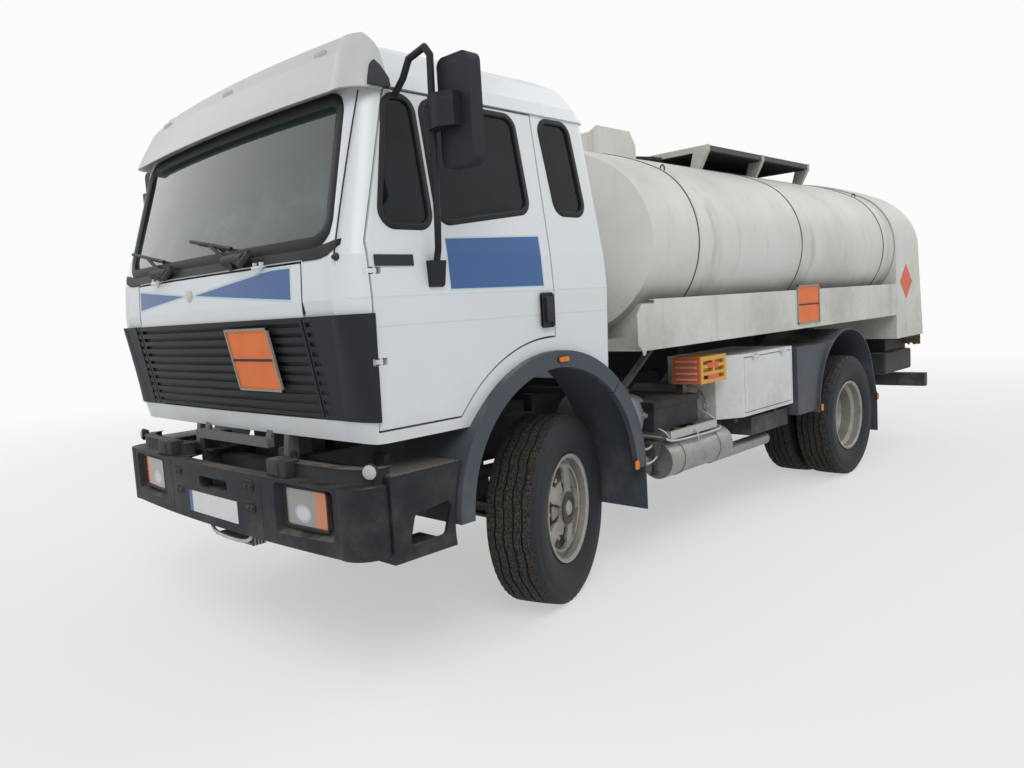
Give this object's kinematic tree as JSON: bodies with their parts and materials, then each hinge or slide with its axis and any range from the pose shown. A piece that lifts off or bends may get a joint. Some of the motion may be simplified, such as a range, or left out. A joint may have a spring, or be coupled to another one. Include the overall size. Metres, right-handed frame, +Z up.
{
  "type": "tank truck",
  "caption": "Tank truck with a tilting sleeper cab, oval tank, side hose trays and a tail cabinet.",
  "frame": {"origin": "on the ground, at the middle of the overall length and width", "axes": "+X to the truck's left, +Y rearwards, +Z up"},
  "size_m": [3.16, 7.39, 2.8998],
  "materials": {
    "cab_white": "gloss",
    "roof_white": "gloss",
    "visor_grey": "satin",
    "dark_plastic": "matte",
    "flare_grey": "matte",
    "glass": "clear",
    "interior_grey": "matte",
    "seat_fabric": "woven",
    "tank_cream": "satin",
    "chassis_black": "matte",
    "lamp_glass": "clear",
    "galvanised": "dull",
    "tank_grey": "satin",
    "stainless": "dirty",
    "locker_white": "satin",
    "signal_yellow": "satin",
    "fuel_alloy": "brushed",
    "wheel_silver": "dusty",
    "axle_iron": "rough",
    "tyre": "dusty"
  },
  "bodies": {
    "chassis": {"rail_left": "chassis_black", "rail_right": "chassis_black", "crossmembers": "chassis_black", "power_unit": "chassis_black", "bumper": "dark_plastic", "lamps": "lamp_glass", "steps": "dark_plastic", "mudguards": "flare_grey", "springs": "axle_iron", "axles": "axle_iron", "underrun": "chassis_black", "side_arms": "chassis_black", "battery_box": "dark_plastic", "air_tanks": "tank_grey", "silencer": "stainless", "locker": "locker_white", "signal_rack": "signal_yellow", "fuel_tank": "fuel_alloy", "tank_shell": "tank_cream", "subframe": "chassis_black", "trays": "tank_cream", "tail_casing": "tank_cream", "walkway": "galvanised", "dome_box": "tank_cream"},
    "cab": {"cab_front": "cab_white", "cab_back": "cab_white", "cab_roof": "roof_white", "cab_floor": "interior_grey", "visor": "visor_grey", "cab_glass": "glass", "corner_panels": "dark_plastic", "cab_flares": "flare_grey", "wipers": "dark_plastic", "dashboard": "interior_grey", "seats": "seat_fabric", "bunk": "seat_fabric"},
    "front_flap": {"flap_panel": "cab_white", "grille": "dark_plastic"},
    "door_left": {"door_left": "cab_white", "door_glass_left": "glass", "mirror_left": "dark_plastic"},
    "door_right": {"door_right": "cab_white", "door_glass_right": "glass", "mirror_right": "dark_plastic"},
    "locker_door": {"locker_door": "locker_white"},
    "tail_hatch": {"tail_hatch": "tank_cream"},
    "manhole_lid": {"manhole_lid": "galvanised"},
    "knuckle_left": {"knuckle_left": "axle_iron"},
    "knuckle_right": {"knuckle_right": "axle_iron"},
    "tie_rod": {"tie_rod": "axle_iron"},
    "wheel_front_left": {"rim_front_left": "wheel_silver", "tyre_front_left": "tyre"},
    "wheel_front_right": {"rim_front_right": "wheel_silver", "tyre_front_right": "tyre"},
    "wheel_rear_left": {"rim_rear_left": "wheel_silver", "tyre_rear_left": "tyre"},
    "wheel_rear_right": {"rim_rear_right": "wheel_silver", "tyre_rear_right": "tyre"}
  },
  "joints": [
    {"name": "steer_left", "type": "hinge", "parent": "chassis", "child": "knuckle_left", "pos_m": [0.915, -2.255, 0.522], "axis": [0, 0, 1], "range_deg": [-58, 22]},
    {"name": "steer_right", "type": "hinge", "parent": "chassis", "child": "knuckle_right", "pos_m": [-0.915, -2.255, 0.522], "axis": [0, 0, 1], "range_deg": [-58, 22]},
    {"name": "tie_rod_turn", "type": "hinge", "parent": "knuckle_left", "child": "tie_rod", "pos_m": [0.86865, -2.11234, 0.4], "axis": [0, 0, 1], "range_deg": [-22, 58]},
    {"name": "front_wheel_left", "type": "hinge", "parent": "knuckle_left", "child": "wheel_front_left", "pos_m": [0.99108, -2.23028, 0.522], "axis": [0.9511, 0.309, 0], "continuous": true},
    {"name": "front_wheel_right", "type": "hinge", "parent": "knuckle_right", "child": "wheel_front_right", "pos_m": [-0.99108, -2.27972, 0.522], "axis": [0.9511, 0.309, 0], "continuous": true},
    {"name": "rear_wheel_left", "type": "hinge", "parent": "chassis", "child": "wheel_rear_left", "pos_m": [1.077, 1.545, 0.522], "axis": [1, 0, 0], "continuous": true},
    {"name": "rear_wheel_right", "type": "hinge", "parent": "chassis", "child": "wheel_rear_right", "pos_m": [-1.077, 1.545, 0.522], "axis": [1, 0, 0], "continuous": true},
    {"name": "cab_tilt", "type": "hinge", "parent": "chassis", "child": "cab", "pos_m": [0, -3.495, 1], "axis": [1, 0, 0], "range_deg": [0, 60]},
    {"name": "front_flap", "type": "hinge", "parent": "cab", "child": "front_flap", "pos_m": [0, -3.641, 1.89], "axis": [-1, 0, 0], "range_deg": [0, 65]},
    {"name": "left_door", "type": "hinge", "parent": "cab", "child": "door_left", "pos_m": [1.206, -3.47, 1.45], "axis": [0, 0, -1], "range_deg": [0, 70]},
    {"name": "right_door", "type": "hinge", "parent": "cab", "child": "door_right", "pos_m": [-1.206, -3.47, 1.45], "axis": [0, 0, 1], "range_deg": [0, 70]},
    {"name": "locker_door", "type": "hinge", "parent": "chassis", "child": "locker_door", "pos_m": [1.214, 0.055, 1.188], "axis": [0, -1, 0], "range_deg": [0, 90]},
    {"name": "tail_hatch", "type": "hinge", "parent": "chassis", "child": "tail_hatch", "pos_m": [0.2, 3.34839, 1.965], "axis": [1, 0, 0], "range_deg": [0, 95]},
    {"name": "manhole_lid", "type": "hinge", "parent": "chassis", "child": "manhole_lid", "pos_m": [-0.262, -0.585, 2.802], "axis": [0, -1, 0], "range_deg": [0, 80]}
  ],
  "couplings": [
    {"joint": "steer_right", "follows": "steer_left", "ratio": 1},
    {"joint": "tie_rod_turn", "follows": "steer_left", "ratio": -1}
  ]
}
